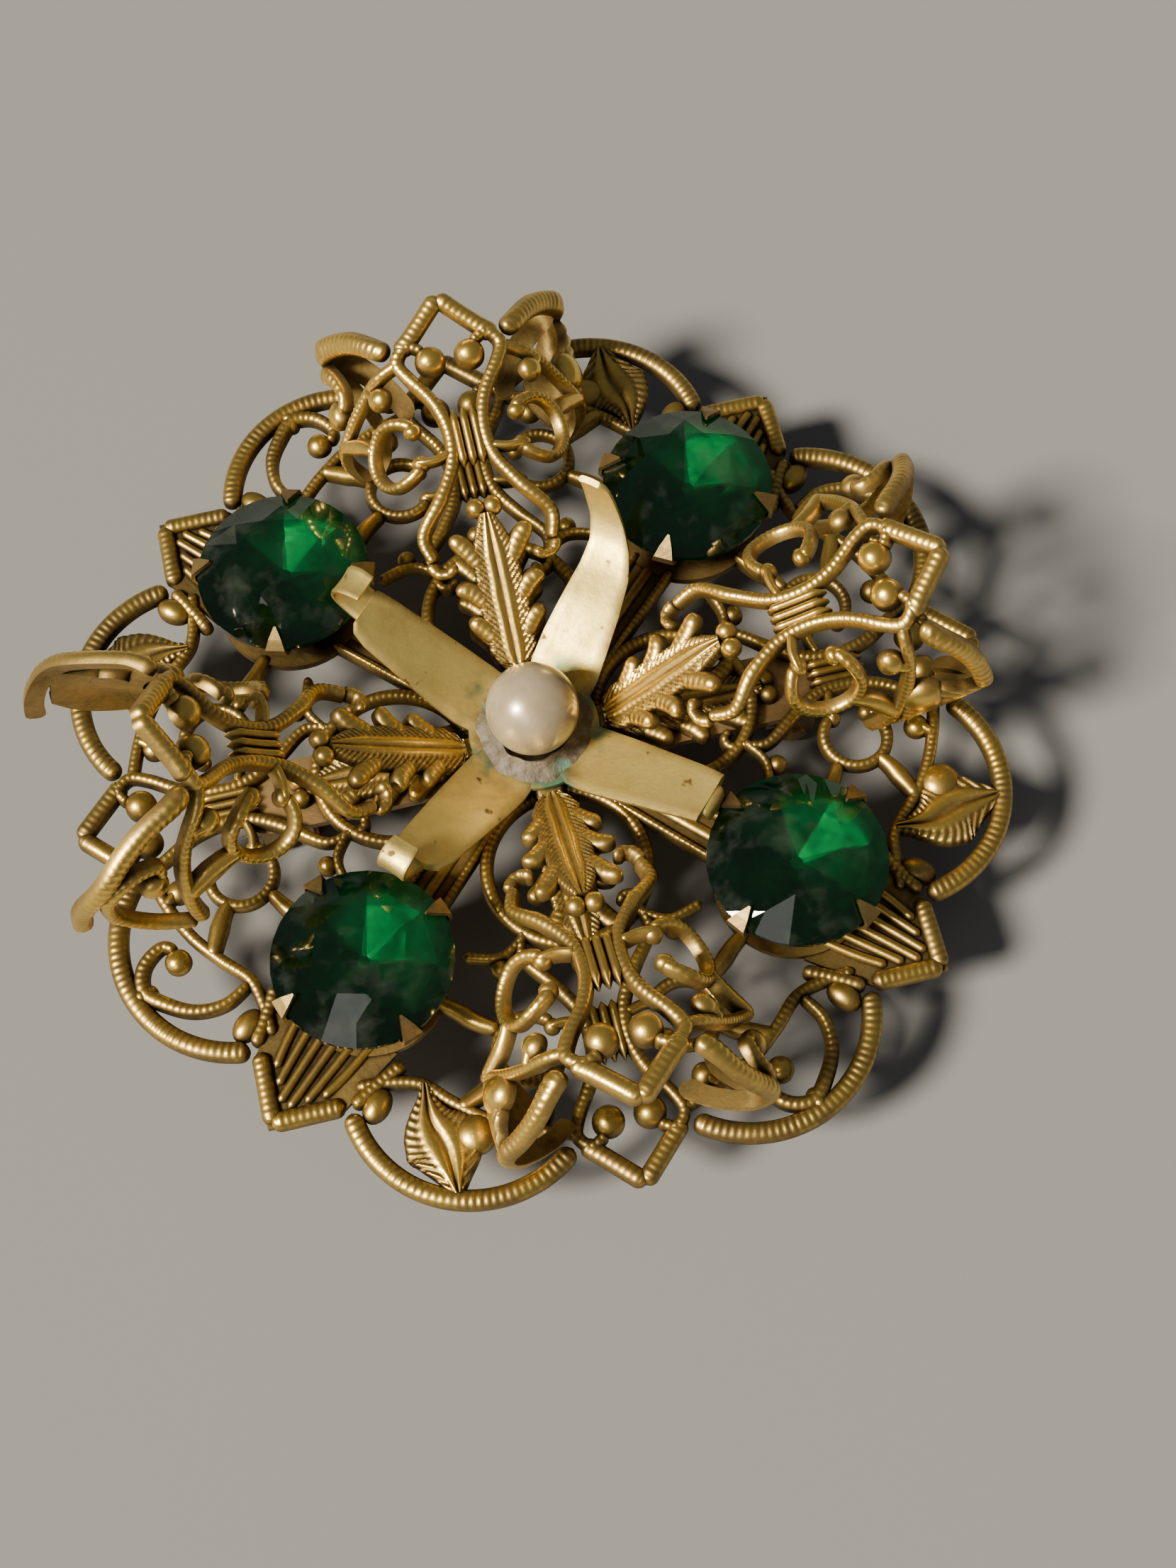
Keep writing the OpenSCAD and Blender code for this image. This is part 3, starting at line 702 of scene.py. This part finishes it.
def blend_of(nodes, links, factor, a, b):
    """Colour a where the factor is 0 and b where it is 1; each is a colour or a socket."""
    mix = nodes.new("ShaderNodeMix")
    mix.data_type = "RGBA"
    links.new(factor, mix.inputs["Factor"])
    for socket, value in ((mix.inputs[6], a), (mix.inputs[7], b)):
        if isinstance(value, tuple):
            socket.default_value = (*value, 1)
        else:
            links.new(value, socket)
    return mix.outputs[2]


def bump(nodes, links, shader, height, distance):
    node = nodes.new("ShaderNodeBump")
    node.inputs["Strength"].default_value = 0.6
    node.inputs["Distance"].default_value = distance
    links.new(height, node.inputs["Height"])
    links.new(node.outputs["Normal"], shader.inputs["Normal"])


def aged_metal(name, rubbed, middle, dark, shine=0.3, age=0.3, seed=1.0, uses_tone=True):
    """Gilt or brass: bright where rubbed, brown and dull in cuts and blotches, and darker and duller
    in recesses, where an occlusion node paints shade.
    """
    material, nodes, links, shader = new_material(name)
    blotch = remap(nodes, links, object_noise(nodes, links, 260, 5, seed), 0.35, 0.72)
    grain = object_noise(nodes, links, 2600, 3, seed + 2)
    # An occlusion node darkens the colour in recesses and crevices: painted shade
    occlusion_shade = nodes.new("ShaderNodeAmbientOcclusion")
    occlusion_shade.samples = 6
    occlusion_shade.inputs["Distance"].default_value = 1.6 * MM
    painted_shade = remap(nodes, links, occlusion_shade.outputs["AO"], 0.95, 0.35)
    # Wear from blotches, with the painted shade of the recesses added; the tone's wear and patina
    # follow
    worn = sum_of(nodes, links, remap(nodes, links, blotch, 0, 1, 0, age), painted_shade, 0.75)
    if uses_tone:
        tone = nodes.new("ShaderNodeAttribute")
        tone.attribute_name = "tone"
        worn = sum_of(nodes, links, worn, tone.outputs["Fac"], 0.55)
    worn = sum_of(nodes, links, worn, remap(nodes, links, grain, 0.3, 0.7, -1, 1), 0.07)
    light = blend_of(nodes, links, remap(nodes, links, worn, 0, 0.45), rubbed, middle)
    colour = blend_of(nodes, links, remap(nodes, links, worn, 0.4, 1), light, dark)
    links.new(colour, shader.inputs["Base Color"])
    links.new(remap(nodes, links, worn, 0, 1, shine, 0.68), shader.inputs["Roughness"])
    shader.inputs["Metallic"].default_value = 0.96
    bump(nodes, links, shader, grain, 0.03 * MM)
    return material


def spotted_brass(name):
    """The claw's plain sheet: satin, with brown spots and a patina ring round the pearl."""
    material, nodes, links, shader = new_material(name)
    place = nodes.new("ShaderNodeTexCoord")
    cloud = remap(nodes, links, object_noise(nodes, links, 240, 9, 3.1), 0.38, 0.72)
    tone = nodes.new("ShaderNodeAttribute")
    tone.attribute_name = "tone"
    spots = remap(nodes, links, object_noise(nodes, links, 900, 2, 7.7), 0.66, 0.74)
    grain = object_noise(nodes, links, 3200, 2, 5.2)
    flat = nodes.new("ShaderNodeVectorMath")
    flat.operation = "MULTIPLY"
    flat.inputs[1].default_value = (1, 1, 0)
    links.new(place.outputs["Object"], flat.inputs[0])
    out = nodes.new("ShaderNodeVectorMath")
    out.operation = "LENGTH"
    links.new(flat.outputs["Vector"], out.inputs[0])
    ring = remap(nodes, links, out.outputs["Value"], 5.2 * MM, 3.4 * MM)
    worn = sum_of(nodes, links, remap(nodes, links, cloud, 0, 1, 0, 0.75), spots, 0.7)
    worn = sum_of(nodes, links, worn, tone.outputs["Fac"], 0.9)
    worn = sum_of(nodes, links, worn, ring, 0.55)
    colour = blend_of(nodes, links, worn, (0.94, 0.73, 0.23), (0.17, 0.11, 0.035))
    green = nodes.new("ShaderNodeMath")
    green.operation = "MULTIPLY"
    patch = object_noise(nodes, links, 300, 3, 10.6)
    links.new(remap(nodes, links, patch, 0.52, 0.62, 0, 0.8), green.inputs[0])
    links.new(remap(nodes, links, out.outputs["Value"], 5.4 * MM, 4.2 * MM), green.inputs[1])
    colour = blend_of(nodes, links, green.outputs["Value"], colour, (0.06, 0.2, 0.13))
    links.new(colour, shader.inputs["Base Color"])
    links.new(remap(nodes, links, worn, 0, 1, 0.42, 0.65), shader.inputs["Roughness"])
    shader.inputs["Metallic"].default_value = 0.92
    bump(nodes, links, shader, sum_of(nodes, links, cloud, grain, 0.3), 0.05 * MM)
    return material


def coloured_glass(name):
    """Clear green glass under a thin, patchy film of dust."""
    material, nodes, links, shader = new_material(name)
    shader.inputs["Base Color"].default_value = (0.01, 0.4, 0.2, 1)
    shader.inputs["Transmission Weight"].default_value = 1
    shader.inputs["IOR"].default_value = 1.55
    film = remap(nodes, links, object_noise(nodes, links, 420, 7, 2.2), 0.5, 0.8)
    links.new(remap(nodes, links, film, 0, 1, 0.01, 0.1), shader.inputs["Roughness"])
    dust = nodes.new("ShaderNodeBsdfDiffuse")
    dust.inputs["Color"].default_value = (0.3, 0.31, 0.27, 1)
    over = nodes.new("ShaderNodeMixShader")
    links.new(remap(nodes, links, film, 0, 1, 0.0, 0.08), over.inputs[0])
    links.new(shader.outputs[0], over.inputs[1])
    links.new(dust.outputs[0], over.inputs[2])
    links.new(over.outputs[0], nodes["Material Output"].inputs["Surface"])
    return material


def coated_back(name):
    """The reflecting coat on the back of a stone, seen through the glass."""
    material, nodes, links, shader = new_material(name)
    patchy = remap(nodes, links, object_noise(nodes, links, 500, 3, 9.4), 0.3, 0.7)
    colour = blend_of(nodes, links, patchy, (0.003, 0.09, 0.04), (0.006, 0.2, 0.1))
    links.new(colour, shader.inputs["Base Color"])
    shader.inputs["Metallic"].default_value = 1
    shader.inputs["Roughness"].default_value = 0.42
    bump(nodes, links, shader, object_noise(nodes, links, 700, 2, 3.3), 0.12 * MM)
    return material


def pearly(name):
    material, nodes, links, shader = new_material(name)
    cloud = remap(nodes, links, object_noise(nodes, links, 300, 4, 1.4), 0.3, 0.7)
    colour = blend_of(nodes, links, cloud, (0.36, 0.28, 0.17), (0.52, 0.43, 0.3))
    links.new(colour, shader.inputs["Base Color"])
    shader.inputs["Roughness"].default_value = 0.3
    shader.inputs["Metallic"].default_value = 0.35
    shader.inputs["Subsurface Weight"].default_value = 0.15
    shader.inputs["Subsurface Scale"].default_value = 0.4 * MM
    shader.inputs["Coat Weight"].default_value = 0.7
    shader.inputs["Coat Roughness"].default_value = 0.1
    shader.inputs["Specular IOR Level"].default_value = 0.7
    bump(nodes, links, shader, object_noise(nodes, links, 2500, 2, 4.4), 0.01 * MM)
    return material


def dusty_glue(name):
    material, nodes, links, shader = new_material(name)
    grime = remap(nodes, links, object_noise(nodes, links, 1100, 6, 6.6), 0.35, 0.65)
    colour = blend_of(nodes, links, grime, (0.045, 0.032, 0.018), (0.14, 0.115, 0.08))
    green = remap(nodes, links, object_noise(nodes, links, 420, 2, 12.3), 0.6, 0.7, 0, 0.7)
    colour = blend_of(nodes, links, green, colour, (0.09, 0.24, 0.19))
    links.new(colour, shader.inputs["Base Color"])
    shader.inputs["Roughness"].default_value = 0.55
    bump(nodes, links, shader, grime, 0.12 * MM)
    return material


gilt_bright = aged_metal("gilt_bright", (1.0, 0.68, 0.14), (0.5, 0.34, 0.11), (0.05, 0.036, 0.014),
                         shine=0.22)
gilt_dark = aged_metal("gilt_dark", (0.78, 0.53, 0.11), (0.31, 0.21, 0.07), (0.035, 0.025, 0.011),
                       shine=0.25, age=0.45, seed=4.0)
cup_brass = aged_metal("cup_brass", (0.5, 0.35, 0.13), (0.22, 0.15, 0.06), (0.05, 0.033, 0.015),
                       shine=0.35, age=0.6, seed=8.0, uses_tone=False)
back_brass = aged_metal("back_brass", (0.66, 0.48, 0.24), (0.42, 0.28, 0.12), (0.1, 0.06, 0.03),
                        age=0.5, seed=6.0, uses_tone=False)
pin_steel = aged_metal("pin_steel", (0.72, 0.7, 0.66), (0.5, 0.46, 0.4), (0.15, 0.12, 0.1),
                       shine=0.22, age=0.35, seed=3.0, uses_tone=False)
claw_brass = spotted_brass("claw_brass")
green_glass = coloured_glass("green_glass")
foil = coated_back("foil")
pearl_skin = pearly("pearl_skin")
glue_dust = dusty_glue("glue_dust")

CAD_LOOKS = {
    "setting_ne": cup_brass, "setting_nw": cup_brass, "setting_sw": cup_brass,
    "setting_se": cup_brass, "setting_rivets": back_brass, "hub_rivet": back_brass,
    "pin_bar": back_brass, "hinge_bracket": back_brass, "hinge_pin": back_brass,
    "pin_stem": pin_steel, "catch_body": back_brass, "catch_rotor": back_brass,
}
for node_name, look in CAD_LOOKS.items():
    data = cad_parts[node_name].data
    data.materials.clear()
    data.materials.append(look)

rosette()
petals()
claw()
centre_piece()
for number, stone_name in enumerate(("stone_ne", "stone_nw", "stone_sw", "stone_se")):
    stone(number, stone_name)


# ---- floor, light and camera ----

def pale_floor():
    bpy.ops.mesh.primitive_plane_add(size=8)
    floor = bpy.context.object
    floor.name = "floor"
    material, _, _, shader = new_material("floor_paper")
    shader.inputs["Base Color"].default_value = (0.185, 0.185, 0.185, 1)
    shader.inputs["Roughness"].default_value = 0.85
    floor.data.materials.append(material)


def aim(lamp, azimuth, elevation, distance):
    """Put a lamp round the brooch and turn it to the middle."""
    a, e = math.radians(azimuth), math.radians(elevation)
    way = Vector((math.cos(a) * math.cos(e), math.sin(a) * math.cos(e), math.sin(e)))
    lamp.location = distance * way
    lamp.rotation_euler = (-way).to_track_quat("-Z", "Y").to_euler()
    bpy.context.scene.collection.objects.link(lamp)


def lights():
    """A warm lamp's light from the left, with soft edges, a weak one in front, and a dim room."""
    key = bpy.data.lights.new("key", "SUN")
    key.energy = 9.7
    key.angle = math.radians(13)
    key.color = (1.0, 0.91, 0.74)
    aim(bpy.data.objects.new("key", key), 195, 46, 0.6)
    fill = bpy.data.lights.new("fill", "AREA")
    fill.shape = "DISK"
    fill.size = 0.4
    fill.energy = 0.7
    fill.color = (1.0, 0.96, 0.9)
    aim(bpy.data.objects.new("fill", fill), 235, 38, 0.9)
    room = bpy.data.worlds.new("room")
    bpy.context.scene.world = room
    room.use_nodes = True
    background = room.node_tree.nodes["Background"]
    background.inputs["Color"].default_value = (0.95, 0.97, 1.0, 1)
    background.inputs["Strength"].default_value = 0.13


EYE = (-7.01, -51.58, 125.2)
LOOK_AT = (2.39, -4.37, 8)
ROLL = -2.25             # degrees


def camera():
    """Held over the brooch from a little below it, and slightly askew."""
    data = bpy.data.cameras.new("camera")
    data.sensor_width = 36
    data.sensor_fit = "HORIZONTAL"
    data.lens = 63.1
    data.clip_start = 0.005
    eye = bpy.data.objects.new("camera", data)
    eye.location = Vector(EYE) * MM
    gaze = (Vector(LOOK_AT) - Vector(EYE)).to_track_quat("-Z", "Y")
    eye.rotation_euler = (gaze @ Quaternion((0, 0, 1), math.radians(ROLL))).to_euler()
    bpy.context.scene.collection.objects.link(eye)
    bpy.context.scene.camera = eye


pale_floor()
lights()
camera()
